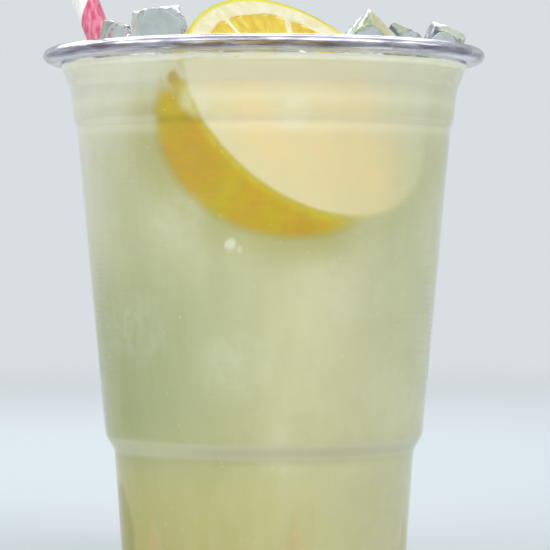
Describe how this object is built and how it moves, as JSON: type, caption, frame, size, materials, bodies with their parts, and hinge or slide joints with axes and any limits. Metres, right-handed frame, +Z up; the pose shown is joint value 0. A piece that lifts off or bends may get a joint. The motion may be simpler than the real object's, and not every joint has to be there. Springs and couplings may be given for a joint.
{
  "type": "cup of iced lemonade",
  "caption": "Clear disposable cup of cloudy iced lemonade with half a lemon, broken ice heaped over its rolled lip and a striped paper straw.",
  "frame": {"origin": "middle of the cup's foot, on the surface that it stands on", "axes": "+Z up along the cup's axis, -Y towards the viewer, so the cut face of the lemon looks forward and right and the straw leans to -X"},
  "size_m": [0.1145, 0.098, 0.1839],
  "materials": {
    "clear_plastic": "clear smooth thermoformed plastic",
    "lemonade": "cloudy pale yellow drink",
    "lemon": "yellow rind, white pith and wet pulp",
    "striped_paper": "wound paper, pink-red and white spiral stripes",
    "ice": "wet broken ice, clear to frosty"
  },
  "bodies": {
    "root": {"cup": "clear_plastic", "lemonade": "lemonade", "lemon": "lemon", "straw": "striped_paper", "ice_1": "ice", "ice_2": "ice", "ice_3": "ice", "ice_4": "ice", "ice_5": "ice", "ice_6": "ice", "ice_7": "ice", "ice_8": "ice", "ice_9": "ice", "ice_10": "ice", "ice_11": "ice", "ice_12": "ice", "ice_13": "ice", "ice_14": "ice"}
  },
  "joints": []
}
